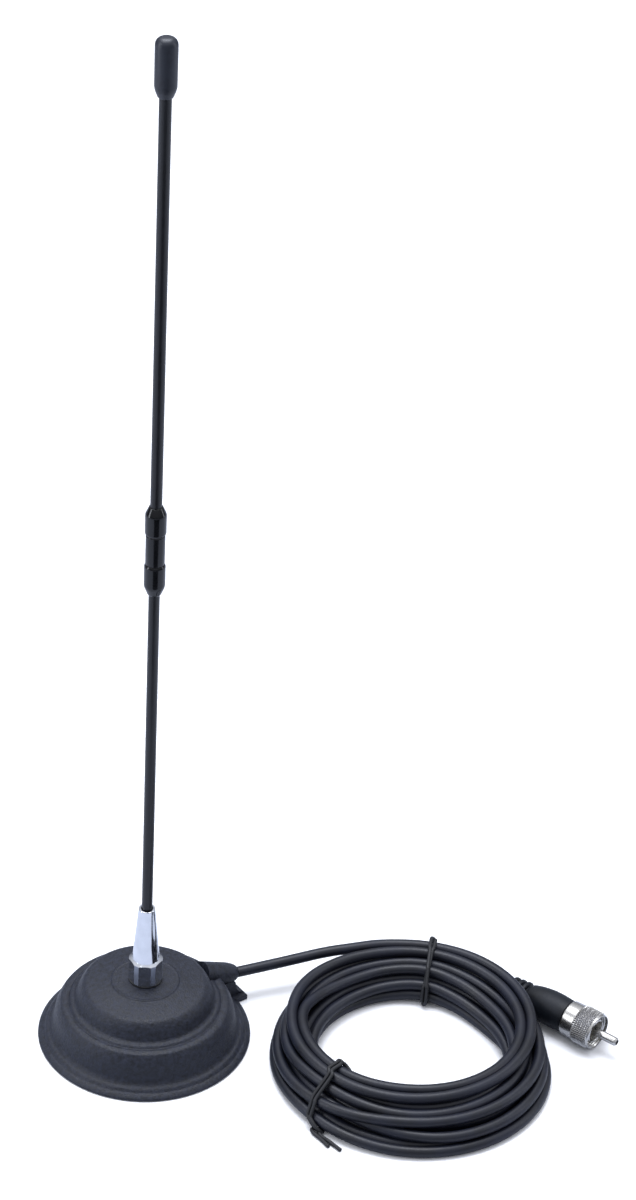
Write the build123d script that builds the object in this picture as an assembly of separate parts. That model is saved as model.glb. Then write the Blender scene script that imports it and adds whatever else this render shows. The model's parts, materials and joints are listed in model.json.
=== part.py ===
"""Magnetic-mount whip antenna with a coiled coaxial lead, modelled piece by piece.

Millimetres. The origin is the centre of the base's resting face, +Z runs up the whip, and -Y is the front.
Each function below makes one piece, or a few pieces that are made the same way.
"""

from build123d import *
import math
import os

# ---- clearances that fitted pieces share ----
running = 0.10  # radial gap of a shaft that turns in a bore
slip = 0.02  # radial gap of pieces that are glued or crimped together
loose = 0.30  # gap between pieces that only lie near each other

# ---- base ----
base_radius = 48.0
flange_width = 8.4  # from the rim in to the foot of the lower tier
ledge_width = 10.4  # from the lower tier's wall in to the upper tier's wall
cover_wall = 2.4
ledge_rise = 6.2  # from the top of the steel cup up to the ledge between the tiers
upper_rise = 11.6  # from the ledge up to the crown beside the chrome ferrule
crown_fall = 3.0  # how far the upper tier's top slopes down to its shoulder
flange_height = 4.8  # the step round the foot of the lower tier
floor_gap = 0.3  # the soft rim stays this far above the resting face
pad_inset = 5.0
pad_thickness = 0.8
cup_inset = 1.0  # room between the cover's inner wall and the cup, as the cover narrows upwards
cup_height = 12.6
cup_wall = 1.4
magnet_hole_radius = 14.0
tier_two_radius = base_radius - flange_width
tier_one_radius = tier_two_radius - ledge_width
cup_radius = tier_two_radius - cover_wall - cup_inset
pad_radius = base_radius - pad_inset
ledge_height = pad_thickness + cup_height + ledge_rise
cover_top = ledge_height + upper_rise
shoulder_one = cover_top - crown_fall

# ---- threaded stud in the middle of the base ----
stud_radius = 3.0  # M6
stud_head_height = 3.5
stud_head_width = 2 * stud_radius + 4.0
stud_engagement = 9.0
insulator_flange = 1.2
insulator_neck_radius = stud_radius + 2.0
insulator_flange_radius = stud_radius + 6.0
lug_thickness = 0.8
lug_eye_radius = stud_radius + 3.0
lug_tab_length = 7.0
nut_height = 5.0
nut_width = 2 * stud_radius + 4.0
collar_radius = stud_radius + 3.4
gasket_radius = stud_radius + 4.6
gasket_thickness = 0.8

# ---- ground connection on the cup ----
screw_radius = 1.5
ground_reach = 20.5  # distance of the ground screw from the whip's axis
ground_tab = 8.0
ground_eye_radius = 3.6

# ---- cable gland on the side of the cover ----
gland_turn = 37.4  # degrees round from +X
gland_fall = 22.0  # degrees that the boss slopes down on its way out
gland_overhang = 0.9  # how far the exit stands outside the rim
gland_drop = 6.6  # how far the exit lies below the ledge
gland_wall = 1.9
gland_swell = 1.2  # how much thicker the boss is at its root
gland_length = 20.0
gland_nose = 3.2
gland_bend = 5.0  # where the cable starts to turn to the exit's heading
gland_knee = 17.5  # where the cable levels out inside the cover
entry_end_radius = 19.5
collar_place = 23.5  # distance of the strain collar from the whip's axis
collar_wall = 1.2
collar_length = 2.2
tab_overhang = 4.6  # how far the foot tab stands outside the rim
tab_half_width = 6.4
tab_thickness = 2.8

# ---- coaxial cable ----
cable_radius = 2.5
core_radius = 1.45
wire_radius = 0.45
braid_radius = 1.0
exit_turn = 22.0  # the cable's heading as it leaves the gland
coil_centre = (121.0, -12.0)
coil_inner_radius = 41.0
coil_outer_radius = 66.0
coil_height = 20.0
coil_corner = 7.0
coil_bottom = 0.15
tie_wire_radius = 0.9
tie_waist = 2.2  # how far a tie draws the bundle in
tie_gap = 2.3  # distance between the two wires of one tie
rear_tie_turn = 82.0
front_tie_turn = 222.0
tie_slot = 5.6
tie_tail = 12.0

# ---- whip ----
ferrule_width = 14.2
ferrule_corner_width = 15.05
ferrule_hex_height = 11.6
ferrule_height = 39.0
ferrule_foot_radius = 6.2
ferrule_bevel = 1.1
ferrule_tip_wall = 0.95
ferrule_mouth_gap = 0.35  # the open recess round the whip
ferrule_mouth_depth = 2.5
ferrule_web = 4.0  # solid metal between the stud's bore and the whip's bore
whip_core_radius = 1.5
winding_thickness = 0.35
lower_sleeve_radius = 2.4
upper_sleeve_radius = 2.5
lower_exposed = 164.6  # bare length of the lower section, from the ferrule to the joint
joint_cone = 4.5
lower_barrel = 10.4
union_length = 14.0
union_radius = 4.15
barrel_radius = union_radius + 0.38
upper_barrel = 9.4
upper_cone = 3.6
joint_plug = 3.0  # solid end below each whip section's socket
o_ring_height = 0.5
joint_stud_radius = 2.5  # M5
joint_stud_engagement = 6.0
upper_exposed = 180.8  # bare length of the upper section, from the joint to the cap
tip_length = 24.4
tip_radius = 4.53
tip_neck = 3.4
tip_depth = 18.0  # how much of the whip the cap covers

# ---- plug ----
plug_turn = -37.0  # degrees round from +X of the plug's axis
plug_place = (192.6, 15.6)  # where the plug's axis meets the coupling ring's rear face
ring_bore_radius = 7.5  # the thread's minor radius
ring_wall = 1.5
ring_band = 6.4
ring_length = 16.0
ring_lip = 2.6
ring_play = 0.4  # gap between the ring's lip and the body's flange
body_flange = 1.6
nose_wall = 1.0
nose_end = 15.0
nose_notch = 1.6
nose_bore_floor = 6.0
pin_radius = 2.0
pin_shank_radius = 1.6  # inside the insulator
pin_start = 1.2
pin_end = 26.5
pin_bore_radius = 1.2
insulator_face = 10.5
insulator_wall = 1.8
boot_length = 22.0
rib_pitch = 3.2
rib_count = 3
boot_tail = 14.0
adapter_wall = 1.4
plug_tail = 21.0
ring_radius = ring_bore_radius + ring_wall
ring_band_radius = ring_radius - 0.5
ring_tail_radius = ring_radius - 0.75
boot_radius = ring_radius - 0.8
body_flange_radius = ring_bore_radius - 0.2
ring_lip_radius = ring_bore_radius - 1.0
nose_radius = ring_bore_radius - 1.6
body_radius = ring_bore_radius - 1.9
adapter_radius = cable_radius + adapter_wall


def place(turn, radius, height):
    """The point at a heading round the whip's axis, a distance out and a height."""
    angle = math.radians(turn)
    return Vector(radius * math.cos(angle), radius * math.sin(angle), height)


def ring(outer, inner, low, high):
    """A plain ring on the whip's axis, from one height to another."""
    blank = Cylinder(outer, high - low, align=(Align.CENTER, Align.CENTER, Align.MIN))
    if inner:
        blank -= Cylinder(inner, high - low, align=(Align.CENTER, Align.CENTER, Align.MIN))
    return Pos(0, 0, low) * blank


def turned(corners):
    """Turn a closed outline round the whip's axis. Each corner is (radius, height, rounding)."""
    points = [Vector(radius, 0, height) for radius, height, rounding in corners]
    outline = FilletPolyline(*points, radius=[corner[2] for corner in corners], close=True)
    return revolve(make_face(outline), Axis.Z)


def hexagon(width, low, high, spin=0.0):
    """A hexagonal prism on the whip's axis, measured across its flats."""
    outline = Rot(0, 0, spin) * RegularPolygon(width / 2, 6, major_radius=False)
    return Pos(0, 0, low) * extrude(outline, high - low)


def bent_tube(points, radius):
    """A round tube through the points, with each bend as large as its two runs allow."""
    points = [Vector(*point) if isinstance(point, tuple) else point for point in points]
    bends = []
    for before, here, after in zip(points, points[1:], points[2:]):
        run_in = here - before
        run_out = after - here
        half_turn = math.radians(run_in.get_angle(run_out)) / 2
        bends.append(0.45 * min(run_in.length, run_out.length) / math.tan(half_turn))
    path = FilletPolyline(*points, radius=bends)
    section = Plane(origin=points[0], z_dir=points[1] - points[0]) * Circle(radius)
    tube = sweep(section, path=path)
    expected = math.pi * radius**2 * path.length
    print("bends", [round(bend, 1) for bend in bends], "length", round(path.length, 1),
          "volume ratio", round(tube.volume / expected, 4))
    return tube


# ---- where the gland, the lead and the plug lie ----
gland_reach = base_radius + gland_overhang
gland_exit_height = ledge_height - gland_drop
gland_tip_radius = cable_radius + gland_wall
gland_root_radius = gland_tip_radius + gland_swell
tab_reach = base_radius + tab_overhang
gland_exit = place(gland_turn, gland_reach, gland_exit_height)
gland_axis = place(gland_turn, math.cos(math.radians(gland_fall)), -math.sin(math.radians(gland_fall)))
exit_axis = place(exit_turn, 1.0, 0.03)
plug_axis = place(plug_turn, 1.0, 0.0)
plug_height = ring_radius + 0.1
plug_plane = Plane(origin=(plug_place[0], plug_place[1], plug_height), x_dir=(0, 0, 1), z_dir=plug_axis)


def on_plug(shape):
    """Move a piece made on the whip's axis to the plug's axis, its origin at the ring's rear face."""
    return plug_plane.location * shape


# ---- the stack of heights inside the base ----
cup_bottom = pad_thickness
cup_top = cup_bottom + cup_height
plate_bottom = cup_top - cup_wall
lug_bottom = cup_top + insulator_flange
lug_top = lug_bottom + lug_thickness
nut_top = lug_top + nut_height
gasket_bottom = cover_top
ferrule_bottom = gasket_bottom + gasket_thickness
stud_top = ferrule_bottom + stud_engagement
head_top = plate_bottom - insulator_flange
ground_place = Vector(0, ground_reach, cup_top)

# ---- the stack of heights along the whip ----
whip_foot = stud_top + ferrule_web
ferrule_top = ferrule_bottom + ferrule_height
ferrule_mouth_radius = lower_sleeve_radius + ferrule_mouth_gap
ferrule_tip_radius = ferrule_mouth_radius + ferrule_tip_wall
joint_bottom = ferrule_top + lower_exposed
union_bottom = joint_bottom + joint_cone + lower_barrel
union_top = union_bottom + union_length
lower_socket_floor = union_bottom - joint_plug
upper_bottom = union_top + o_ring_height
upper_socket_floor = upper_bottom + joint_plug
upper_joint_top = upper_bottom + upper_barrel + upper_cone
tip_bottom = upper_joint_top + upper_exposed
tip_top = tip_bottom + tip_length
winding_radius = whip_core_radius + slip + winding_thickness


def cover_cavity():
    """The hollow under the cover: a wide lower room for the cup, and an upper room for the wiring."""
    lower = ring(cup_radius + loose, 0, floor_gap - 1, cup_top + loose)
    room = tier_one_radius - cover_wall
    ceiling = cover_top - cover_wall - 0.4
    upper = turned([(0, cup_top, 0), (room, cup_top, 0), (room, shoulder_one - cover_wall - 0.8, 1.5),
                    (gasket_radius + 5, ceiling, 0), (0, ceiling, 0)])
    recess = ring(pad_radius + loose, 0, floor_gap - 1, pad_thickness + loose)
    return lower + upper + recess


def gland_boss():
    """The sloping boss that the cable leaves through, with its round nose, web and foot tab."""
    back = Plane(origin=gland_exit, x_dir=(0, 0, 1), z_dir=gland_axis)
    outline = FilletPolyline(
        (0, 0, -gland_length), (gland_root_radius, 0, -gland_length),
        (gland_tip_radius + 0.3, 0, -gland_nose), (cable_radius + 1.0, 0, 0.4), (0, 0, 0.4),
        radius=[0, 2.0, 0.9, 0, 0], close=True)
    boss = back.location * revolve(make_face(outline), Axis.Z)
    slab = extrude(Rectangle(2 * tab_reach, 2 * tab_half_width), tab_thickness)
    disc = Cylinder(tab_reach, tab_thickness, align=(Align.CENTER, Align.CENTER, Align.MIN))
    tab = Pos(0, 0, floor_gap) * (disc & slab & Pos(tab_reach, 0, 0) * Box(tab_reach * 1.6, 60, 20))
    web_height = gland_exit_height - 1.0 - floor_gap
    web = Pos(gland_reach - 10, 0, floor_gap) * Box(
        18, 2 * gland_tip_radius, web_height, align=(Align.CENTER, Align.CENTER, Align.MIN))
    web = fillet(web.edges().filter_by(Axis.Z), 1.5)
    foot = Rot(0, 0, gland_turn) * (tab + web)
    return boss + foot


def base_cover():
    """The moulded rubber cover: three rounded tiers, an embossed ring, the gland boss and its tab."""
    outline = [
        (0, floor_gap, 0),
        (base_radius, floor_gap, 0.4),
        (base_radius, floor_gap + 1.1, 0.6),
        (base_radius - 1.7, flange_height - 1.9, 0.9),
        (base_radius - 3.3, flange_height - 0.7, 0.5),
        (base_radius - 4.6, flange_height + 0.1, 0.6),
        (tier_two_radius + 2.1, flange_height + 1.6, 1.4),
        (tier_two_radius + 0.2, ledge_height - 2.6, 3.2),
        (tier_two_radius - 5.2, ledge_height - 0.5, 1.0),
        (tier_two_radius - 5.9, ledge_height + 0.5, 0.6),
        (tier_one_radius + 2.0, ledge_height + 0.8, 1.2),
        (tier_one_radius + 0.2, shoulder_one - 1.2, 2.6),
        (gasket_radius + 7.9, cover_top - 1.1, 0.5),
        (gasket_radius + 7.2, cover_top - 0.45, 0.4),
        (gasket_radius + 6.2, cover_top - 0.5, 0.4),
        (gasket_radius + 0.5, cover_top, 0),
        (0, cover_top, 0),
    ]
    cover = turned(outline) + gland_boss() - cover_cavity()
    cover -= ring(collar_radius + slip, 0, cover_top - cover_wall - 1, cover_top + 1)
    return cover - gland_bore()


def gland_path():
    """The cable's way from the upper room, down the boss and round to the exit's heading."""
    knee = gland_exit - gland_axis * gland_knee
    inside = place(gland_turn, entry_end_radius, knee.Z)
    bend = gland_exit - exit_axis * gland_bend
    return [inside, knee, bend, gland_exit]


def gland_bore():
    """The hole that the cable fills, a slip fit all the way, and open past the exit."""
    mouth = Plane(origin=gland_exit, z_dir=exit_axis).location * Cylinder(cable_radius + slip, 4.0)
    return bent_tube(gland_path(), cable_radius + slip) + mouth


def cable_entry():
    """The end of the jacketed cable, held in the boss and running into the upper room."""
    return bent_tube(gland_path(), cable_radius)


def strain_collar():
    """A crimped collar on the jacket, just inside the wall, so that a pull can't draw the cable out."""
    start = place(gland_turn, collar_place, gland_path()[0].Z)
    plane = Plane(origin=start, z_dir=place(gland_turn, 1.0, 0.0))
    blank = Cylinder(cable_radius + collar_wall, collar_length)
    bore = Cylinder(cable_radius + slip, 2 * collar_length)
    return plane.location * (blank - bore)


def foot_pad():
    """The thin rubber sheet that keeps the magnet from scratching a roof."""
    return turned([(0, 0, 0), (pad_radius, 0, 0.2), (pad_radius, pad_thickness, 0), (0, pad_thickness, 0)])


def steel_cup():
    """The pressed steel pot round the magnet, open below, with holes for the stud and the ground screw."""
    cup = turned([
        (0, plate_bottom, 0), (cup_radius - cup_wall, plate_bottom, 0), (cup_radius - cup_wall, cup_bottom, 0),
        (cup_radius, cup_bottom, 0), (cup_radius, cup_top, 2.0), (0, cup_top, 0)])
    cup -= ring(insulator_neck_radius + slip, 0, plate_bottom - 1, cup_top + 1)
    return cup - Pos(ground_place) * Cylinder(screw_radius + slip, 10)


def ring_magnet():
    """The ferrite ring, flush with the cup's lip."""
    return ring(cup_radius - cup_wall - slip, magnet_hole_radius, cup_bottom, plate_bottom)


def mount_stud():
    """The threaded stud, its head in the magnet's hole. The thread is drawn as its major diameter."""
    head = hexagon(stud_head_width, head_top - stud_head_height, head_top)
    shank = turned([(0, head_top - 0.1, 0), (stud_radius, head_top - 0.1, 0), (stud_radius, stud_top - 0.6, 0),
                    (stud_radius - 0.6, stud_top, 0), (0, stud_top, 0)])
    return head + shank


def insulator(flange_low, flange_high, neck_low, neck_high):
    """A flanged nylon bush that keeps the stud off the cup."""
    flange = ring(insulator_flange_radius, stud_radius + slip, flange_low, flange_high)
    neck = ring(insulator_neck_radius, stud_radius + slip, neck_low, neck_high)
    return flange + neck


def solder_lug():
    """The ring terminal under the nut, its tab turned towards the cable."""
    eye = ring(lug_eye_radius, stud_radius + slip, lug_bottom, lug_top)
    tab_middle = lug_eye_radius + lug_tab_length / 2 - 1.3
    tab = Pos(tab_middle, 0, lug_bottom + lug_thickness / 2) * Box(lug_tab_length, 3.6, lug_thickness)
    return Rot(0, 0, gland_turn) * (eye + tab)


def stud_nut():
    """The nut that clamps the lug, the bushes and the cup."""
    return hexagon(nut_width, lug_top, nut_top) - ring(stud_radius + slip, 0, lug_top - 1, nut_top + 1)


def thrust_collar():
    """The metal sleeve from the nut to the gasket, which carries the ferrule's clamping force."""
    return ring(collar_radius, stud_radius + slip, nut_top, cover_top)


def ground_lug():
    """The ring terminal that takes the braid to the cup."""
    eye = Cylinder(ground_eye_radius, lug_thickness)
    eye += Pos(ground_tab / 2, 0, 0) * Box(ground_tab, 3.0, lug_thickness)
    eye -= Cylinder(screw_radius + slip, 4)
    return Pos(ground_place.X, ground_place.Y, cup_top + lug_thickness / 2) * eye


def ground_screw():
    """The pan-head screw that holds the ground lug, with a cross slot."""
    head_low = cup_top + lug_thickness
    head = Pos(0, 0, head_low) * Cylinder(2.8, 1.8, align=(Align.CENTER, Align.CENTER, Align.MIN))
    head = fillet(head.edges().group_by(Axis.Z)[-1], 0.8)
    for turn in (0, 90):
        head -= Pos(0, 0, head_low + 1.8) * Rot(0, 0, turn) * Box(3.0, 0.6, 1.6)
    shank_length = head_low - plate_bottom + 0.1
    shank = Pos(0, 0, plate_bottom) * Cylinder(
        screw_radius, shank_length, align=(Align.CENTER, Align.CENTER, Align.MIN))
    return Pos(ground_place.X, ground_place.Y, 0) * (head + shank)


def centre_wire():
    """The cable's inner conductor, from the end of the jacket down to the solder lug."""
    outward = place(gland_turn, 1.0, 0.0)
    start = gland_path()[0] - outward * 0.05
    lug_point = outward * (lug_eye_radius + 4.2) + Vector(0, 0, lug_top)
    arch = start - outward * 5.5 + Vector(0, 0, 0.6)
    return bent_tube([start, arch, lug_point + Vector(0, 0, 3.2), lug_point], wire_radius)


def braid_pigtail():
    """The twisted braid, from the end of the jacket to the ground lug's tab."""
    outward = place(gland_turn, 1.0, 0.0)
    start = gland_path()[0] + place(gland_turn + 90, 1.5, 0) - outward * 0.7
    tab_end = Vector(ground_place.X + ground_tab - 3.0, ground_place.Y, cup_top + lug_thickness + braid_radius)
    first = start - outward * 3.0 + place(gland_turn + 90, 1.0, -1.2)
    last = tab_end + Vector(4.2, -0.6, 0.8)
    return bent_tube([start, first, last, tab_end], braid_radius)


def ferrule_gasket():
    """The dark rubber washer under the chrome ferrule."""
    return ring(gasket_radius, stud_radius + loose, gasket_bottom, ferrule_bottom)


def whip_ferrule():
    """The chromed ferrule: a hexagon with bevelled corners below, and a taper that grips the whip."""
    hex_top = ferrule_bottom + ferrule_hex_height
    prism = hexagon(ferrule_width, ferrule_bottom, hex_top) & hexagon(
        ferrule_corner_width, ferrule_bottom, hex_top, spin=30)
    envelope = turned([
        (0, ferrule_bottom, 0), (ferrule_corner_width / 2 - 0.3, ferrule_bottom, 0),
        (ferrule_corner_width / 2 + 0.5, ferrule_bottom + 0.6, 0),
        (ferrule_corner_width / 2 + 0.5, hex_top - ferrule_bevel, 0),
        (ferrule_foot_radius, hex_top, 0), (0, hex_top, 0)])
    taper_root = ferrule_foot_radius - 0.05
    taper = turned([
        (0, hex_top - 1, 0), (taper_root, hex_top - 1, 0), (taper_root, hex_top, 0),
        (ferrule_tip_radius, ferrule_top, 0.5), (0, ferrule_top, 0)])
    ferrule = (prism & envelope) + taper
    ferrule -= ring(stud_radius + running, 0, ferrule_bottom - 1, stud_top + 0.6)
    ferrule -= ring(lower_sleeve_radius + slip, 0, whip_foot, ferrule_top + 1)
    return ferrule - ring(ferrule_mouth_radius, 0, ferrule_top - ferrule_mouth_depth, ferrule_top + 1)


def whip_section(name, low, high, sleeve_radius):
    """One section of the whip: a glass-fibre rod, its wire winding and the shrunk-on sleeve."""
    pieces = {
        name + "_core": ring(whip_core_radius, 0, low, high),
        name + "_winding": ring(winding_radius, whip_core_radius + slip, low + 1.0, high - 1.0),
        name + "_sleeve": ring(sleeve_radius, winding_radius + slip, low, high),
    }
    return pieces


def lower_joint_ferrule():
    """The glossy black end fitting of the lower section, with a bevelled top edge."""
    body = turned([
        (0, joint_bottom, 0), (lower_sleeve_radius + 0.35, joint_bottom, 0.15),
        (barrel_radius, joint_bottom + joint_cone, 0.5), (barrel_radius, union_bottom - 0.8, 0.2),
        (union_radius, union_bottom, 0), (0, union_bottom, 0)])
    return body - ring(lower_sleeve_radius + slip, 0, joint_bottom - 1, lower_socket_floor)


def joint_union():
    """The threaded middle sleeve that stays with the lower section."""
    body = ring(union_radius, 0, union_bottom, union_top)
    return body - ring(joint_stud_radius + running, 0, union_top - joint_stud_engagement - 0.6, union_top + 1)


def joint_o_ring():
    """The thin seal between the union and the upper fitting."""
    return ring(union_radius - 0.15, joint_stud_radius + loose, union_top, upper_bottom)


def upper_joint_ferrule():
    """The glossy black end fitting of the upper section, which unscrews from the union."""
    cone_bottom = upper_bottom + upper_barrel
    body = turned([
        (0, upper_bottom, 0), (union_radius + 0.1, upper_bottom, 0), (barrel_radius, upper_bottom + 0.5, 0.15),
        (barrel_radius, cone_bottom, 0.6), (upper_sleeve_radius + 0.35, upper_joint_top, 0.15),
        (0, upper_joint_top, 0)])
    body -= ring(upper_sleeve_radius + slip, 0, upper_socket_floor, upper_joint_top + 1)
    return body - ring(joint_stud_radius + slip, 0, upper_bottom - 1, upper_socket_floor - 0.5)


def joint_stud():
    """The stud that joins the sections. It is locked in the upper fitting and screws into the union."""
    return ring(joint_stud_radius, 0, union_top - joint_stud_engagement, upper_socket_floor - 0.6)


def tip_cap():
    """The domed rubber cap pushed on the whip's end."""
    body = turned([
        (0, tip_bottom, 0), (upper_sleeve_radius + 0.7, tip_bottom, 0.3),
        (tip_radius - 0.15, tip_bottom + tip_neck, 1.6),
        (tip_radius, tip_top - 1.0, tip_radius * 0.72), (0, tip_top, 0)])
    return body - ring(upper_sleeve_radius + slip, 0, tip_bottom - 1, tip_bottom + tip_depth)


def lead_route():
    """The cable's points from the gland to the back of the coil, chosen by hand."""
    return [
        gland_exit,
        gland_exit + exit_axis * 12.0,
        Vector(64.5, 39.6, 14.2),
        Vector(80.5, 45.2, 15.8),
        Vector(97.5, 48.6, 16.2),
        Vector(112.0, 48.2, 16.2),
    ]


def coil_section(inset):
    """The outline of the wound bundle, drawn in by a tie where there is an inset."""
    low = coil_bottom + inset
    rounding = coil_corner - inset / 2
    return turned([
        (coil_inner_radius + inset, low, rounding), (coil_outer_radius - inset, low, rounding),
        (coil_outer_radius - inset, coil_height - inset, rounding),
        (coil_inner_radius + inset, coil_height - inset, rounding)])


def at_tie(turn):
    """The place of a tie: the middle of the bundle, with X pointing away from the coil's centre."""
    return Pos(coil_centre[0], coil_centre[1], 0) * Rot(0, 0, turn) * Pos(
        (coil_inner_radius + coil_outer_radius) / 2, 0, coil_height / 2)


def cable_coil():
    """The outer shape of the wound lead, waisted at its two ties and relieved beside the plug's boot."""
    centre = Pos(coil_centre[0], coil_centre[1], 0)
    bundle = centre * coil_section(0)
    waist = centre * coil_section(tie_waist)
    for turn in (rear_tie_turn, front_tie_turn):
        bundle -= at_tie(turn) * Box(40, tie_slot, 40)
    bundle += waist
    relief = ring(boot_radius + 0.6, 0, -boot_length - boot_tail, ring_length + 10)
    return bundle - on_plug(relief)


def tie(turn):
    """A twist tie: two wire loops round the waisted bundle and a short twisted tail."""
    reach = tie_wire_radius + 0.1
    wide = coil_outer_radius - coil_inner_radius - 2 * tie_waist + 2 * reach
    high = coil_height - coil_bottom - 2 * tie_waist + 2 * reach
    lift = coil_bottom / 2
    corner = coil_corner - tie_waist / 2 + reach
    loops = []
    for side in (-1, 1):
        plane = Plane(origin=(0, side * tie_gap / 2, lift), x_dir=(1, 0, 0), z_dir=(0, -1, 0))
        path = plane * RectangleRounded(wide, high, corner).wire()
        start = Plane(origin=path @ 0, z_dir=path % 0)
        loops.append(sweep(start * Circle(tie_wire_radius), path=path))
    knot_out = tie_waist - reach + tie_wire_radius + loose
    knot_height = lift - high / 3
    knot = Box(knot_out, tie_gap, 2.6, align=(Align.MIN, Align.CENTER, Align.CENTER))
    knot = Pos(wide / 2, 0, knot_height) * knot
    tail = Pos(wide / 2 + knot_out, tie_tail / 2 - tie_gap, knot_height) * Rot(90, 0, 0) * Cylinder(
        tie_wire_radius, tie_tail)
    return at_tie(turn) * (loops[0] + loops[1] + knot + tail)


def plug_boot():
    """The rubber boot behind the coupling ring, with ribs towards the cable."""
    corners = [(0, -boot_length - boot_tail, 0), (cable_radius + 1.0, -boot_length - boot_tail, 0.4)]
    foot = -boot_length - boot_tail + 2.0
    groove = cable_radius + 1.9
    corners.append((groove, foot, 0))
    for index in range(rib_count):
        low = -boot_length - 0.8 - rib_pitch * (rib_count - index)
        crest = groove + 1.1 + 0.25 * index
        corners += [(groove, low + 0.4, 0), (crest, low + 0.7, 0.3), (crest, low + rib_pitch - 0.9, 0.3),
                    (groove, low + rib_pitch - 0.6, 0)]
    corners += [
        (groove + 0.4, -boot_length - 0.2, 0), (boot_radius - 1.7, -boot_length, 0.8),
        (boot_radius, -boot_length + 9.0, 8.0), (boot_radius - 0.1, -6.0, 8.0), (ring_tail_radius - 0.6, -0.3, 0.2),
        (0, -0.3, 0)]
    boot = turned(corners)
    boot -= ring(cable_radius + slip, 0, -60, 1)
    return on_plug(boot - ring(body_radius + slip, 0, -plug_tail, 1))


def plug_body():
    """The nickelled plug body: a barrel in the boot, a flange that keeps the ring, and a notched nose."""
    flange_low = ring_lip + ring_play
    body = turned([
        (0, -plug_tail + 3, 0), (body_radius, -plug_tail + 3, 0.4), (body_radius, flange_low, 0),
        (body_flange_radius, flange_low, 0), (body_flange_radius, flange_low + body_flange, 0),
        (nose_radius, flange_low + body_flange, 0), (nose_radius, nose_end, 0.3), (0, nose_end, 0)])
    body -= ring(adapter_radius + slip, 0, -plug_tail, 1.0)
    body -= ring(nose_radius - nose_wall, 0, nose_bore_floor, nose_end + 1)
    body -= ring(pin_shank_radius + insulator_wall, 0, 0, nose_bore_floor + 1)
    for turn in (0, 90):
        body -= Pos(0, 0, nose_end) * Rot(0, 0, turn) * Box(20, nose_notch, 2.4)
    return on_plug(body)


def reducing_adapter():
    """The threaded adapter that fits the thin cable to the plug body."""
    return on_plug(ring(adapter_radius, cable_radius + slip, -plug_tail + 1.0, 0.9))


def plug_insulator():
    """The moulded insulator that centres the pin."""
    bore = pin_shank_radius + slip
    neck = ring(pin_shank_radius + insulator_wall - slip, bore, pin_start, nose_bore_floor)
    return on_plug(neck + ring(nose_radius - nose_wall - slip, bore, nose_bore_floor, insulator_face))


def centre_pin():
    """The hollow centre pin: stepped behind the insulator's face, rounded at its tip, and open there for solder."""
    pin = turned([
        (0, pin_start, 0), (pin_shank_radius, pin_start, 0), (pin_shank_radius, insulator_face + slip, 0),
        (pin_radius, insulator_face + slip, 0), (pin_radius, pin_end, 0.9), (0, pin_end, 0)])
    return on_plug(pin - ring(pin_bore_radius, 0, pin_end - 7.0, pin_end + 1))


def coupling_ring():
    """The knurled ring that turns freely on the plug. Its thread and knurl are drawn as plain cylinders."""
    ring_body = turned([
        (0, 0, 0), (ring_tail_radius, 0, 0.3), (ring_band_radius, ring_band - 0.5, 0),
        (ring_radius, ring_band, 0), (ring_radius, ring_length - 1.2, 0), (ring_bore_radius + 0.8, ring_length, 0),
        (0, ring_length, 0)])
    ring_body -= ring(ring_lip_radius, 0, -1, ring_lip + 0.1)
    return on_plug(ring_body - ring(ring_bore_radius, 0, ring_lip, ring_length + 1))


def plug_cable_end():
    """The jacketed end of the cable inside the boot and the adapter."""
    return on_plug(ring(cable_radius, 0, -boot_length - boot_tail, -1.0))


def tail_route():
    """The cable's points from inside the coil to the back of the boot."""
    back = plug_plane.origin - plug_axis * (boot_length + boot_tail)
    middle = back - plug_axis * 11.0
    return [back, middle, middle + place(plug_turn + 207, 11.0, 0.6)]


def build():
    """Make every piece and write each one to its own file."""
    parts = {
        "base_cover": base_cover(),
        "foot_pad": foot_pad(),
        "steel_cup": steel_cup(),
        "ring_magnet": ring_magnet(),
        "mount_stud": mount_stud(),
        "lower_insulator": insulator(head_top, plate_bottom, head_top, plate_bottom + cup_wall / 2 - slip),
        "upper_insulator": insulator(cup_top, lug_bottom, plate_bottom + cup_wall / 2, lug_bottom),
        "solder_lug": solder_lug(),
        "stud_nut": stud_nut(),
        "thrust_collar": thrust_collar(),
        "ground_lug": ground_lug(),
        "ground_screw": ground_screw(),
        "cable_entry": cable_entry(),
        "strain_collar": strain_collar(),
        "centre_wire": centre_wire(),
        "braid_pigtail": braid_pigtail(),
        "ferrule_gasket": ferrule_gasket(),
        "whip_ferrule": whip_ferrule(),
        "lower_joint_ferrule": lower_joint_ferrule(),
        "joint_union": joint_union(),
        "joint_o_ring": joint_o_ring(),
        "joint_stud": joint_stud(),
        "upper_joint_ferrule": upper_joint_ferrule(),
        "tip_cap": tip_cap(),
        "cable_lead": bent_tube(lead_route(), cable_radius),
        "cable_coil": cable_coil(),
        "cable_tail": bent_tube(tail_route(), cable_radius),
        "rear_tie": tie(rear_tie_turn),
        "front_tie": tie(front_tie_turn),
        "plug_boot": plug_boot(),
        "plug_body": plug_body(),
        "reducing_adapter": reducing_adapter(),
        "plug_insulator": plug_insulator(),
        "centre_pin": centre_pin(),
        "coupling_ring": coupling_ring(),
        "plug_cable_end": plug_cable_end(),
    }
    parts.update(whip_section("lower", whip_foot, lower_socket_floor, lower_sleeve_radius))
    parts.update(whip_section("upper", upper_socket_floor, tip_bottom + tip_depth, upper_sleeve_radius))
    os.makedirs("parts", exist_ok=True)
    for name, shape in parts.items():
        export_step(shape, f"parts/{name}.step")


build()
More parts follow.
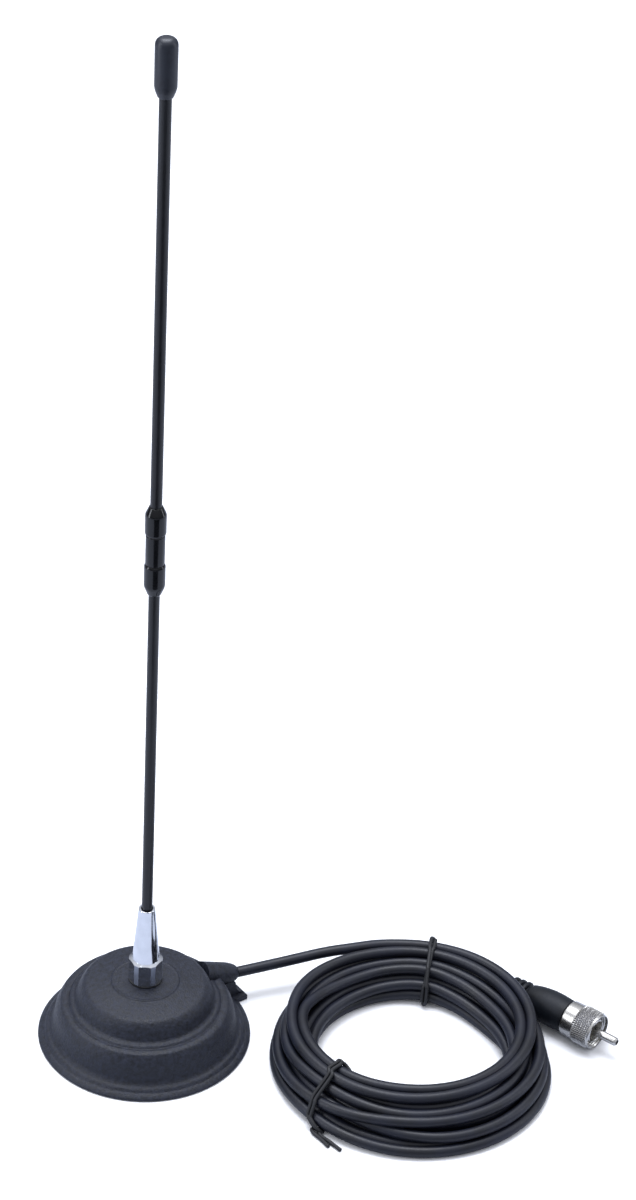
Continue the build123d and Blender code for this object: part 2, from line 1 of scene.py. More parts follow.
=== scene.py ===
# %% [markdown]
# A magnetic-mount whip antenna with its coiled lead.
# The frame holds the engineered model: every piece is at its place, in metres.
# This file gives that model its looks. Each step first says what the real piece is, how it could be made in
# Blender, and why one way was chosen. The camera and the cable come first, because the rest is judged round them.

# %% Load the frame and keep its size
import json
import math
import bmesh
import bpy
from mathutils import Matrix, Vector, kdtree


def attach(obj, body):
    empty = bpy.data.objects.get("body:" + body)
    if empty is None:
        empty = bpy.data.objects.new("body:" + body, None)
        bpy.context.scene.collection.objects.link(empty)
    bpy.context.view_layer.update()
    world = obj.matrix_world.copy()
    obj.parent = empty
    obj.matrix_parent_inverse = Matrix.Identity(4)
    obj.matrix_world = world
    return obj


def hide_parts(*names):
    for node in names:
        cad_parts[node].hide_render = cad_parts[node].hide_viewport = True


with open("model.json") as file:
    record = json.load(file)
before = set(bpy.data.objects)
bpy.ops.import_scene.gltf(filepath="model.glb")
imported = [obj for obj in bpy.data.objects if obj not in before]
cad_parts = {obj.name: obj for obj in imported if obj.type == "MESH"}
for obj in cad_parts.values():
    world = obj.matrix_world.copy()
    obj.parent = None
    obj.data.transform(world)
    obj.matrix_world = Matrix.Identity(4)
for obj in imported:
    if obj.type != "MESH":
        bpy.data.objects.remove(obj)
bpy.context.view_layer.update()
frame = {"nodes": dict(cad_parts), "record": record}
mm = 0.001

# %% [markdown]
# The camera. The viewer stands in front of the base, a little over a metre away and almost as high, and looks
# down at about a third of a right angle. A lens longer than a portrait lens keeps the whip nearly parallel.
# The small roll is the tilt of a camera held by hand. A matrix built from the three view directions is clearer
# than three stacked rotations, because each column can be read as a direction in the room.

# %% Camera at the viewing angle
view_pitch = math.radians(32.53)
view_roll = math.radians(3.12)
view_place = Vector((0.068, -1.154, 0.973))

across = Vector((1, 0, 0))
upward = Vector((0, math.sin(view_pitch), math.cos(view_pitch)))
onward = Vector((0, math.cos(view_pitch), -math.sin(view_pitch)))
right = across * math.cos(view_roll) + upward * math.sin(view_roll)
top = upward * math.cos(view_roll) - across * math.sin(view_roll)

camera = bpy.data.objects.new("camera", bpy.data.cameras.new("camera"))
camera.data.lens = 99.0
camera.data.sensor_width = 36.0
camera.data.clip_start = 0.05
camera.matrix_world = Matrix.Translation(view_place) @ Matrix((right, top, -onward)).transposed().to_4x4()
bpy.context.scene.collection.objects.link(camera)
bpy.context.scene.camera = camera
print("camera", [round(value, 3) for value in view_place], "lens", camera.data.lens)

# %% [markdown]
# Finishes are described by their real colours as printed hex values, which a screen shows. Shaders work in linear
# light, so one function turns the one into the other. A second function adds any node, sets it and links it.

# %% Colour and node helpers
def colour(code):
    """A linear colour from an sRGB hex value."""
    channels = [int(code[i:i + 2], 16) / 255 for i in (1, 3, 5)]
    return [c / 12.92 if c <= 0.04045 else ((c + 0.055) / 1.055) ** 2.4 for c in channels] + [1.0]


def add(tree, kind, inputs=None, **settings):
    """A node of a kind, with its settings, and its inputs given as values or as sockets to link."""
    made = tree.nodes.new("ShaderNode" + kind)
    for name, value in settings.items():
        setattr(made, name, value)
    for name, value in (inputs or {}).items():
        if isinstance(value, bpy.types.NodeSocket):
            tree.links.new(value, made.inputs[name])
        else:
            made.inputs[name].default_value = value
    return made


def new_finish(name):
    """A new material, with its node tree and its shader."""
    finish = bpy.data.materials.new(name)
    finish.use_nodes = True
    return finish, finish.node_tree, finish.node_tree.nodes["Principled BSDF"]


# %% [markdown]
# Most pieces of this antenna were turned, moulded in turned tools, or drawn, so most shapes here start as an outline
# that is spun round an axis. Each corner of an outline carries its own setback, and the bevel operator rounds it
# before the spin, because a real edge always has a small radius that catches the light.

# %% Spin an outline into a solid
def outlined(corners):
    """A bmesh face in the XZ plane from (radius, height, setback) corners in millimetres, each corner rounded."""
    shape = bmesh.new()
    points = [shape.verts.new((radius * mm, 0, height * mm)) for radius, height, setback in corners]
    shape.faces.new(points)
    for point, (radius, height, setback) in zip(points, corners):
        if setback:
            bmesh.ops.bevel(shape, geom=[point], offset=setback * mm, offset_type="OFFSET", segments=5,
                            profile=0.5, affect="VERTICES", material=-1)
    return shape


def lathe(corners, steps=96):
    """A closed solid of revolution round Z from its outline."""
    shape = outlined(corners)
    bmesh.ops.delete(shape, geom=shape.faces[:], context="FACES_ONLY")
    on_axis = [edge for edge in shape.edges if max(abs(vert.co.x) for vert in edge.verts) < 1e-9]
    bmesh.ops.delete(shape, geom=on_axis, context="EDGES")
    bmesh.ops.spin(shape, geom=shape.verts[:] + shape.edges[:], cent=(0, 0, 0), axis=(0, 0, 1), dvec=(0, 0, 0),
                   angle=2 * math.pi, steps=steps, use_merge=True)
    bmesh.ops.remove_doubles(shape, verts=shape.verts, dist=0.0004 * mm)
    bmesh.ops.recalc_face_normals(shape, faces=shape.faces)
    return shape


# %% [markdown]
# A bmesh becomes an object, may be joined to or cut by another, and is then shown: it rides on a moving body, stands
# for the engineered nodes it refines, and takes its finish. A boolean keeps the walls true where a hexagon meets a
# cone or a boss meets a dome, which would be slow to stitch by hand.


def solid(name, shape, place=None):
    """An object from a bmesh, put at its place."""
    if place is not None:
        shape.transform(place)
    mesh = bpy.data.meshes.new(name)
    shape.to_mesh(mesh)
    shape.free()
    made = bpy.data.objects.new(name, mesh)
    bpy.context.scene.collection.objects.link(made)
    return made


def combine(target, tool, operation):
    """Join or cut a piece with a second solid, which is used up."""
    step = target.modifiers.new(operation, "BOOLEAN")
    step.operation = operation
    step.solver = "EXACT"
    step.object = tool
    bpy.context.view_layer.update()
    changed = bpy.data.meshes.new_from_object(target.evaluated_get(bpy.context.evaluated_depsgraph_get()))
    target.modifiers.clear()
    target.data = changed
    bpy.data.objects.remove(tool)


def show(made, body, slot, *nodes, sharp=32):
    """Finish a piece: its body, its finish, its smooth faces and the nodes it stands for."""
    if made.type == "MESH":
        made.data.shade_smooth()
        made.data.set_sharp_from_angle(angle=math.radians(sharp))
    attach(made, body)
    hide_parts(*nodes)
    made.data.materials.clear()
    made.data.materials.append(finishes[slot])
    print(made.name, "faces", len(made.data.polygons) if made.type == "MESH" else "of a curve")
    return made


# %% [markdown]
# Black rubber and plastic are never one flat black. Moulded rubber has a fine spark-eroded grain, darker hollows
# and slightly polished patches, and PVC has a smoother skin with long soft variation. One function writes all of
# them from real measures: two near blacks, the grain's width and depth in millimetres, and a roughness range.

# %% Finishes for moulded and extruded plastics
finishes = {}


def moulded(slot, dark, light, grain, depth, rough, patch=9.0, **shader_values):
    """A plastic or rubber: grain and patch widths and grain depth in millimetres, rough as a (low, high) pair."""
    finish, tree, shader = new_finish(slot)
    place = add(tree, "TexCoord").outputs["Object"]
    patches = add(tree, "TexNoise", {"Vector": place, "Scale": 1 / (patch * mm), "Detail": 4.0,
                                     "Roughness": 0.6})
    grains = add(tree, "TexNoise", {"Vector": place, "Scale": 1 / (grain * mm), "Detail": 3.0,
                                    "Roughness": 0.55})
    tones = add(tree, "ValToRGB", {"Fac": patches.outputs["Fac"]})
    tones.color_ramp.elements[0].position = 0.36
    tones.color_ramp.elements[0].color = colour(dark)
    tones.color_ramp.elements[1].position = 0.66
    tones.color_ramp.elements[1].color = colour(light)
    mixed = add(tree, "Math", {0: patches.outputs["Fac"], 1: grains.outputs["Fac"]}, operation="ADD")
    gloss = add(tree, "MapRange", {"Value": mixed.outputs["Value"], "From Min": 0.7, "From Max": 1.3,
                                   "To Min": rough[0], "To Max": rough[1]})
    relief = add(tree, "Bump", {"Height": grains.outputs["Fac"], "Distance": depth * mm, "Strength": 1.0})
    tree.links.new(tones.outputs["Color"], shader.inputs["Base Color"])
    tree.links.new(gloss.outputs["Result"], shader.inputs["Roughness"])
    tree.links.new(relief.outputs["Normal"], shader.inputs["Normal"])
    for name, value in shader_values.items():
        shader.inputs[name.replace("_", " ")].default_value = value
    finishes[slot] = finish


# EPDM cover: a coarse matt spark-eroded grain that greys the black.
moulded("cover_rubber", "#10131b", "#232734", grain=0.9, depth=0.34, rough=(0.42, 0.6), patch=1.8, IOR=1.42)
# Sheet rubber under the magnet: smooth and a little dusty.
moulded("pad_rubber", "#1c1c1e", "#2b2b2e", grain=0.6, depth=0.05, rough=(0.6, 0.85), IOR=1.5)
# Extruded PVC jacket: satin, with long soft changes of gloss.
moulded("cable_jacket", "#0b0d15", "#121624", grain=0.9, depth=0.03, rough=(0.4, 0.52), patch=14.0, IOR=1.45)
# PVC-covered wire of the twist ties: matt and slightly rippled.
moulded("tie_plastic", "#0f1013", "#191a1e", grain=0.5, depth=0.05, rough=(0.5, 0.7), patch=4.0, IOR=1.5)
# Nitrile seals: smooth and dead black.
moulded("seal_rubber", "#101012", "#17171a", grain=0.5, depth=0.02, rough=(0.45, 0.6), IOR=1.5)
# Polyolefin sleeve shrunk on the rod: satin.
moulded("whip_sleeve", "#08090c", "#0f1116", grain=0.7, depth=0.025, rough=(0.28, 0.4), patch=20.0, IOR=1.46)
# Vinyl cap, dip moulded: soft sheen.
moulded("cap_rubber", "#141720", "#1d222c", grain=0.5, depth=0.03, rough=(0.34, 0.46), IOR=1.48)
# Thermoplastic rubber boot: satin with a light grain.
moulded("boot_rubber", "#090c12", "#10151d", grain=0.45, depth=0.05, rough=(0.46, 0.6), IOR=1.36)
# Black chromed brass of the joint, lacquered: glossy.
moulded("joint_black", "#050608", "#0a0b0e", grain=1.2, depth=0.008, rough=(0.12, 0.22), IOR=1.45)
# Phenolic or PBT insulator: warm white.
moulded("insulator_plastic", "#d9d2c0", "#e9e4d6", grain=0.5, depth=0.02, rough=(0.35, 0.5), IOR=1.55)
# Nylon bushes.
moulded("nylon", "#d2cfc4", "#e2dfd6", grain=0.6, depth=0.02, rough=(0.4, 0.55), IOR=1.53)
# Pultruded glass fibre.
moulded("glass_fibre", "#b9b392", "#cfc9aa", grain=0.3, depth=0.03, rough=(0.4, 0.6), IOR=1.55)
# Sintered ferrite, ground on its faces.
moulded("ferrite", "#2b2b2e", "#3a3a3d", grain=0.3, depth=0.03, rough=(0.5, 0.65), IOR=2.2)
print("plastics", len(finishes))

# %% [markdown]
# The metals are plated brass and steel. Chrome is nearly a mirror with a cold tint, nickel is warmer and duller,
# and handling leaves fine marks that widen its highlights. The tint and the shine go on the shader itself, and only
# the small changes of colour, gloss and relief come from patterns.

# %% Finishes for metals
cloud_width = 6.0  # millimetres, the size of the soft changes of tint


def plated(slot, dark, light, rough, marks=0.4, depth=0.004, metallic=1.0):
    """A metal: two tints, a roughness pair, and the width and depth of its fine marks in millimetres."""
    finish, tree, shader = new_finish(slot)
    shader.inputs["Metallic"].default_value = metallic
    place = add(tree, "TexCoord").outputs["Object"]
    scratches = add(tree, "TexNoise", {"Vector": place, "Scale": 1 / (marks * mm), "Detail": 5.0})
    clouds = add(tree, "TexNoise", {"Vector": place, "Scale": 1 / (cloud_width * mm), "Detail": 3.0})
    tones = add(tree, "ValToRGB", {"Fac": clouds.outputs["Fac"]})
    tones.color_ramp.elements[0].position = 0.35
    tones.color_ramp.elements[0].color = colour(dark)
    tones.color_ramp.elements[1].position = 0.65
    tones.color_ramp.elements[1].color = colour(light)
    gloss = add(tree, "MapRange", {"Value": scratches.outputs["Fac"], "From Min": 0.3, "From Max": 0.7,
                                   "To Min": rough[0], "To Max": rough[1]})
    relief = add(tree, "Bump", {"Height": scratches.outputs["Fac"], "Distance": depth * mm, "Strength": 1.0})
    tree.links.new(tones.outputs["Color"], shader.inputs["Base Color"])
    tree.links.new(gloss.outputs["Result"], shader.inputs["Roughness"])
    tree.links.new(relief.outputs["Normal"], shader.inputs["Normal"])
    finishes[slot] = finish


plated("chrome", "#d0d3d8", "#dcdfe4", rough=(0.06, 0.12), marks=1.5, depth=0.0015)
plated("nickel", "#b4b2ad", "#c8c6c2", rough=(0.22, 0.34), marks=0.35, depth=0.003)
# Darker, rougher nickel for the knurl's grooves: the dark tint is painted shade in the recesses, not a different
# metal.
plated("groove_shade_nickel", "#545458", "#646468", rough=(0.35, 0.5), marks=0.35, depth=0.004)
plated("drawn_chrome", "#a9b0bf", "#b9c0ce", rough=(0.36, 0.46), marks=0.5, depth=0.004)
plated("brass", "#b08d4c", "#c7a663", rough=(0.2, 0.32))
plated("copper", "#b06a48", "#c8825c", rough=(0.25, 0.4))
plated("tinned_copper", "#b7b7b4", "#cbcbc8", rough=(0.3, 0.45), depth=0.01)
plated("zinc_steel", "#a9adb0", "#c3c7c9", rough=(0.22, 0.36))
plated("cup_steel", "#1d1e20", "#2a2b2e", rough=(0.32, 0.5), depth=0.01, metallic=0.3)  # painted black
print("finishes", len(finishes))

# %% [markdown]
# Every engineered node that stays visible gets the finish of its own slot, in place of its plain packed colour.

# %% Give the engineered nodes their finishes
for part in frame["record"]["subparts"]:
    node = frame["nodes"][part["node"]]
    node.data.materials.clear()
    node.data.materials.append(finishes[part["material_slot"]])

# %% [markdown]
# The lead is a thin 50 ohm coaxial cable with a smooth PVC jacket, 5 mm across. It leaves the gland, rises on to
# the back of the coil, lies in twelve loose turns and ends in the plug's boot. Physics could drop a cable, but a
# stored coil is wound by hand, so the turns are worked out as lanes: each lane is one seat in the heap, and the
# cable moves to the next lane once per turn. A NURBS curve with a round bevel keeps it one smooth piece.

# %% Cable sizes and the seats of its turns
cable_radius = 2.5 * mm
gland_turn = math.radians(37.4)  # the gland's heading, round from +X
gland_out = Vector((math.cos(gland_turn), math.sin(gland_turn), 0))
gland_exit = Vector((math.cos(gland_turn) * 48.9, math.sin(gland_turn) * 48.9, 13.0)) * mm
exit_turn = math.radians(22.0)  # the cable's own heading as it leaves
exit_heading = Vector((math.cos(exit_turn), math.sin(exit_turn), 0.03))
coil_middle = Vector((121.0, -12.0, 0.0)) * mm
join_turn = 105.0  # degrees round from +X where the lead meets the coil
ties = (82.0, 222.0)  # degrees round from +X of the two twist ties
points_per_turn = 16
middle_radius = 53.0  # of the heap, in millimetres, as are the shifts below
tie_squeeze, tie_lift, tie_reach = 0.12, 1.9, 22.0  # share of the width, lift of the low turns, degrees of reach
top_shift, top_shift_turn = 4.6, 100.0  # the top turns slid sideways, towards this heading
dent, dent_turn, dent_reach = 3.4, 42.0, 34.0  # the turns pushed in beside the plug's boot
wander = 0.7  # how far a loose turn strays in and out
change_start, change_drift, change_width = 0.93, 0.83, 0.14  # in turns: the first lane change, its drift, its width
top_tier, tier_rise = 12.6, 4.0  # the height where the top turns begin, and over what height they do
lean_share, lean_from = 0.5, 5.0  # the heap leans towards +Y by this share of its height above the second number

# Each seat is (radius, height) in millimetres, from the top of the heap down.
seats = [
    (55.0, 17.3), (49.6, 17.2),
    (47.6, 12.4), (53.1, 12.3), (58.6, 12.3),
    (60.9, 7.4), (55.6, 7.4), (50.3, 7.4), (45.0, 7.4),
    (46.2, 2.6), (51.5, 2.6), (56.8, 2.6), (62.0, 2.6),
]
turns = len(seats) - 1
print("turns", turns)

# %% [markdown]
# A lead between two fixed ends is easiest to draw in three parts. A few points carry it from the gland on to the
# top of the heap, the seats carry it round, and a few more bring it off the floor and into the back of the boot.

# %% The route of the whole cable
def ease(value):
    """A smooth step from 0 to 1."""
    value = min(1.0, max(0.0, value))
    return value * value * (3 - 2 * value)


def near_tie(angle):
    """How strongly a tie draws the bundle together at a heading, from 0 to 1."""
    pull = 0.0
    for turn in ties:
        away = (angle - turn + 180) % 360 - 180
        pull = max(pull, math.exp(-(away / tie_reach) ** 2))
    return pull


def coil_point(progress):
    """The cable's centre after a number of turns, counted from where the lead joins."""
    turn = min(int(progress), turns - 1)
    part = progress - turn
    angle = join_turn - 360 * progress
    change = change_start - change_drift * turn / (turns - 1)
    blend = ease((part - change) / change_width + 0.5)
    radius = seats[turn][0] + (seats[turn + 1][0] - seats[turn][0]) * blend
    height = seats[turn][1] + (seats[turn + 1][1] - seats[turn][1]) * blend
    pull = near_tie(angle)
    on_top = ease((height - top_tier) / tier_rise)
    radius += (1 - pull) * wander * math.sin(math.radians(2 * angle) + 1.9 * turn)
    radius += on_top * top_shift * math.cos(math.radians(angle - top_shift_turn))
    radius = middle_radius + (radius - middle_radius) * (1 - tie_squeeze * pull)
    from_boot = (angle - dent_turn + 180) % 360 - 180
    radius -= dent * math.exp(-(from_boot / dent_reach) ** 2) * (1 - on_top)
    lean = lean_share * (height - lean_from)
    height += tie_lift * pull * (1 - on_top)
    out = math.radians(angle)
    return coil_middle + Vector((radius * math.cos(out), radius * math.sin(out) + lean, height)) * mm


plug_heading = Vector((math.cos(math.radians(-37.0)), math.sin(math.radians(-37.0)), 0.0))
plug_start = Vector((192.6, 15.6, 9.1)) * mm  # the rear face of the coupling ring
boot_end = plug_start - plug_heading * 36.0 * mm

lead_points = [gland_exit, gland_exit + exit_heading * 12.0 * mm] + [
    Vector(point) * mm for point in ((64.5, 39.6, 14.2), (80.5, 45.2, 15.8), (94.0, 48.0, 16.8))]
coil_points = [coil_point(step / points_per_turn) for step in range(points_per_turn * turns)]
tail_points = [Vector(point) * mm for point in ((112.0, 52.0, 3.4), (132.0, 54.5, 6.0), (149.0, 48.5, 8.4))]
tail_points.append(boot_end)
route = lead_points + coil_points + tail_points

# %% [markdown]
# The jacket is extruded, so it is equally thick everywhere and never kinks. A NURBS curve of order 3 runs smoothly
# between its control points and has no corners. Each point carries the cable's radius and
# the bevel is one metre, so the bounds of the curve are true.

# %% The cable as one smooth curve
def cable_curve(name, points, radius):
    """A round cable along a NURBS line: a bevel of one metre times the radius of each of its points."""
    curve = bpy.data.curves.new(name, "CURVE")
    curve.dimensions = "3D"
    spline = curve.splines.new("NURBS")
    spline.points.add(len(points) - 1)
    for slot, point in zip(spline.points, points):
        slot.co = (*point, 1.0)
        slot.radius = radius
    spline.order_u = 3
    spline.use_endpoint_u = True
    spline.resolution_u = 6
    curve.bevel_depth = 1.0
    curve.bevel_resolution = 6
    curve.use_fill_caps = True
    piece = bpy.data.objects.new(name, curve)
    bpy.context.scene.collection.objects.link(piece)
    return piece


cable = show(cable_curve("coaxial_lead", route, cable_radius), "base", "cable_jacket",
             "cable_lead", "cable_coil", "cable_tail")

# %% [markdown]
# A coiled cable should be checked as well as drawn. A copy without its bevel gives the bare centre line. Its length
# is the length of the cable, and a search tree finds how near each place comes to another turn.

# %% Measure the cable's line
probe = cable.copy()
probe.data = cable.data.copy()
probe.data.bevel_depth = 0
line = bpy.data.meshes.new_from_object(probe)
bpy.data.objects.remove(probe)
centres = [vertex.co.copy() for vertex in line.vertices]
cable_length = sum((b - a).length for a, b in zip(centres, centres[1:]))
tree_of_centres = kdtree.KDTree(len(centres))
for index, centre in enumerate(centres):
    tree_of_centres.insert(centre, index)
tree_of_centres.balance()
search, pressed = 8 * mm, 4.2 * mm  # how far to look for another turn, and how near counts as pressed in
apart = max(1, round(40 * mm / cable_length * len(centres)))
gaps = [min([away for _, other, away in tree_of_centres.find_range(centre, search) if abs(other - index) > apart],
            default=search) for index, centre in enumerate(centres)]
close = sum(gap < pressed for gap in gaps) / len(gaps)
print("cable", round(cable_length, 3), "m; nearest turns", round(min(gaps) / mm, 2), "mm apart;",
      round(100 * close, 1), "% of it nearer than", round(pressed / mm, 1), "mm")

# %% [markdown]
# The cover is one rubber moulding: a low bell of three tiers with softened steps, a hollow for the magnet pot, and a
# boss where the cable leaves. The bell is a spun outline. The boss is a second, tilted spin, and its foot is a rib
# with a hollow curve that runs into a tab at the rim. They are joined, then hollowed, so the inside is real too.

# %% The bell of the cover
rim_radius = 48.0
cover_outline = [
    (0, 0.3, 0), (rim_radius, 0.3, 0.3), (rim_radius, 1.3, 0.5), (46.6, 2.5, 0.8), (45.4, 2.9, 0.4),
    (44.3, 4.3, 0.7), (42.9, 4.6, 0.5), (41.6, 5.9, 1.0), (40.0, 15.6, 3.2), (37.6, 18.6, 1.1),
    (35.3, 19.0, 0.6), (34.4, 18.7, 0.4), (33.4, 19.9, 0.7), (31.4, 20.1, 1.0), (29.5, 26.4, 2.2), (27.0, 28.7, 1.2),
    (15.5, 30.1, 0.4), (14.9, 30.75, 0.3), (14.0, 30.55, 0.3), (8.1, 31.2, 0), (0, 31.2, 0),
]
cover = solid("moulded_cover", lathe(cover_outline, steps=180))

# %% [markdown]
# The boss points down and outwards, so that the cable leaves low and close to the floor. The bell is hollow inside
# for the magnet pot. The boss is joined first and the hollow is cut last, so nothing fills it again.

# %% The boss, its foot and the hollows
gland_fall = math.radians(22.0)  # how steeply the boss points down
gland_axis = gland_out * math.cos(gland_fall) - Vector((0, 0, math.sin(gland_fall)))
boss = lathe([(0, -20, 0), (5.7, -20, 0), (5.0, -5.4, 1.5), (4.1, -0.9, 1.0), (2.9, 0.5, 0.4), (0, 0.5, 0)],
             steps=64)
tilt = Vector((0, 0, 1)).rotation_difference(gland_axis).to_matrix().to_4x4()
combine(cover, solid("boss", boss, Matrix.Translation(gland_exit) @ tilt), "UNION")


def slab(corners, half_width):
    """A plate from an outline of (distance, height, setback) corners, as thick as twice the half width."""
    shape = outlined(corners)
    start = shape.faces[:]
    grown = bmesh.ops.extrude_face_region(shape, geom=start)
    moved = [item for item in grown["geom"] if isinstance(item, bmesh.types.BMVert)]
    bmesh.ops.translate(shape, verts=moved, vec=(0, 2 * half_width * mm, 0))
    bmesh.ops.translate(shape, verts=shape.verts, vec=(0, -half_width * mm, 0))
    bmesh.ops.recalc_face_normals(shape, faces=shape.faces)
    return shape


around = Matrix.Rotation(gland_turn, 4, "Z")
rib = [(38, 0.4, 0), (52.3, 0.4, 0.3), (52.3, 3.1, 0.4), (48.6, 3.6, 4.0), (47.4, 11.0, 0.8), (38, 12.4, 0)]
combine(cover, solid("rib", slab(rib, 3.6), around), "UNION")
tab = [(40, 0.3, 0), (52.6, 0.3, 0.2), (52.6, 2.9, 0.6), (40, 3.3, 0)]
combine(cover, solid("tab", slab(tab, 6.0), around), "UNION")
hollow = [(0, -1, 0), (43.3, -1, 0), (43.3, 1.1, 0), (36.5, 1.1, 0), (36.5, 13.7, 0.6), (26.8, 13.7, 0.4),
          (26.8, 25.0, 1.5), (12.6, 28.4, 0), (6.42, 28.4, 0), (6.42, 33, 0), (0, 33, 0)]
combine(cover, solid("hollow", lathe(hollow, steps=120)), "DIFFERENCE")

# %% [markdown]
# The cable is moulded in, so the hole fits it closely. What cuts it is the same kind of curve as the
# cable, a little thicker and turned into a mesh, because a boolean needs a closed mesh.

# %% The hole for the cable
knee = gland_exit - gland_axis * 17.5 * mm
inner_end = Vector((gland_out.x * 19.5 * mm, gland_out.y * 19.5 * mm, knee.z))
bore_route = [inner_end, knee, gland_exit - exit_heading * 5 * mm, gland_exit + exit_heading * 4 * mm]
bore = cable_curve("bore", bore_route, cable_radius + 0.04 * mm)
bore_mesh = bpy.data.meshes.new_from_object(bore)
bpy.data.objects.remove(bore)
bore_shape = bmesh.new()
bore_shape.from_mesh(bore_mesh)
bmesh.ops.remove_doubles(bore_shape, verts=bore_shape.verts, dist=0.001 * mm)
bmesh.ops.recalc_face_normals(bore_shape, faces=bore_shape.faces)
combine(cover, solid("bore", bore_shape), "DIFFERENCE")
show(cover, "base", "cover_rubber", "base_cover", sharp=38)

# %% [markdown]
# The ferrule is turned from hexagonal brass bar and chromium plated. Its corners are cut back to narrow facets, its
# top edge is chamfered in the lathe, and a long taper grips the whip. A hexagon meets a cone here, so both are solids
# and a boolean finds their curved edge. A narrow Bevel modifier then polishes every edge, as plating does.

# %% The chromed ferrule
def hexagon(width, corner_width, low, high):
    """A hexagonal prism with its corners cut back, flats to the front."""
    shape = bmesh.new()
    peak = width / 2 / math.cos(math.radians(30))
    bmesh.ops.create_circle(shape, cap_ends=True, radius=peak * mm, segments=6)
    if corner_width:
        setback = (peak - corner_width / 2) / math.cos(math.radians(60))
        bmesh.ops.bevel(shape, geom=shape.verts[:], offset=setback * mm, offset_type="OFFSET", segments=1,
                        profile=0.5, affect="VERTICES", material=-1)
    grown = bmesh.ops.extrude_face_region(shape, geom=shape.faces[:])
    moved = [item for item in grown["geom"] if isinstance(item, bmesh.types.BMVert)]
    bmesh.ops.translate(shape, verts=moved, vec=(0, 0, (high - low) * mm))
    bmesh.ops.transform(shape, verts=shape.verts,
                        matrix=Matrix.Translation((0, 0, low * mm)) @ Matrix.Rotation(math.radians(30), 4, "Z"))
    bmesh.ops.recalc_face_normals(shape, faces=shape.faces)
    return shape


def thread(shape, root, crest, pitch, low, high, steps=40):
    """Wind a ridge up the axis, swept by a helical spin of a small triangle, all in millimetres."""
    corners = [(root, low), (crest, low + 0.5 * pitch), (root, low + 0.95 * pitch)]
    points = [shape.verts.new((radius * mm, 0, height * mm)) for radius, height in corners]
    sides = [shape.edges.new((points[index - 1], points[index])) for index in range(3)]
    turns = (high - low) / pitch - 1
    bmesh.ops.spin(shape, geom=points + sides, cent=(0, 0, 0), axis=(0, 0, 1), dvec=(0, 0, pitch * mm / steps),
                   angle=2 * math.pi * turns, steps=int(turns * steps), use_merge=False)
    bmesh.ops.holes_fill(shape, edges=[edge for edge in shape.edges if edge.is_boundary], sides=4)
    bmesh.ops.recalc_face_normals(shape, faces=shape.faces)
    return shape


ferrule = solid("chromed_ferrule", hexagon(14.2, 15.05, 32.0, 43.6))
chamfer = [(0, 31, 0), (7.0, 31, 0), (7.2, 32, 0), (8.1, 32.8, 0), (8.1, 42.5, 0), (6.2, 43.6, 0), (0, 43.6, 0)]
combine(ferrule, solid("chamfer", lathe(chamfer, steps=120)), "INTERSECT")
taper = [(0, 42.6, 0), (6.14, 42.6, 0), (6.14, 43.7, 0.3), (3.7, 71.0, 0.35), (0, 71.0, 0)]
combine(ferrule, solid("taper", lathe(taper, steps=120)), "UNION")
sockets = [(0, 31, 0), (3.1, 31, 0), (3.1, 41.6, 0), (0, 41.6, 0)]
combine(ferrule, solid("stud_hole", lathe(sockets, steps=64)), "DIFFERENCE")
mouth = [(0, 45, 0), (2.42, 45, 0), (2.42, 68.5, 0), (2.75, 68.7, 0), (2.85, 72, 0), (0, 72, 0)]
combine(ferrule, solid("whip_hole", lathe(mouth, steps=64)), "DIFFERENCE")
edges = ferrule.modifiers.new("polished_edges", "BEVEL")
edges.width = 0.16 * mm
edges.segments = 2
edges.limit_method = "ANGLE"
edges.angle_limit = math.radians(24)
show(ferrule, "lower_whip", "chrome", "whip_ferrule", sharp=24)

# %% [markdown]
# The narrow corner facets look duller than the polished flats. They are the same piece of metal, so they take a
# second material slot, and the faces are chosen by the way they point and how far out they lie.

# %% The duller corner facets
ferrule.data.materials.append(finishes["drawn_chrome"])
corner_faces = 0
for face in ferrule.data.polygons:
    off_corner = abs((math.degrees(math.atan2(face.normal.y, face.normal.x)) + 30) % 60 - 30)
    if abs(face.normal.z) < 0.1 and off_corner < 8 and 7.3 * mm < face.center.xy.length < 8 * mm:
        face.material_index = 1
        corner_faces += 1
print("duller corner faces", corner_faces)

# %% [markdown]
# The ferrule screws down on to a thin rubber washer. The stud is a hex-headed brass screw that comes up through the
# cover. Its thread is cut as real ridges, because it shows when the whip is lifted off.

# %% The gasket and the threaded stud under it
show(solid("soft_gasket", lathe([(3.3, 31.2, 0), (7.6, 31.2, 0.2), (7.6, 32.0, 0.2), (3.3, 32.0, 0)])),
     "gasket", "seal_rubber", "ferrule_gasket")
stud = lathe([(0, 10.75, 0), (3.0, 10.75, 0), (3.0, 20.0, 0), (2.62, 20.4, 0.1), (2.62, 40.3, 0.1), (1.9, 41.0, 0.2),
              (0, 41.0, 0)], steps=64)
thread(stud, 2.55, 3.0, 1.0, 21.0, 40.4)
stud_solid = solid("threaded_stud", stud)
combine(stud_solid, solid("stud_head", hexagon(10.0, 0, 7.3, 10.8)), "UNION")
show(stud_solid, "base", "brass", "mount_stud")

# %% [markdown]
# The whip comes apart at a joint. Two black plated end fittings grip the sections, a threaded sleeve stays on the
# lower one, and a thin seal closes the gap. All are turned pieces, so each is a spun outline with small edges that
# draw the fine bright lines seen where the pieces meet. The cap is a dipped vinyl dome with a drawn-in neck.

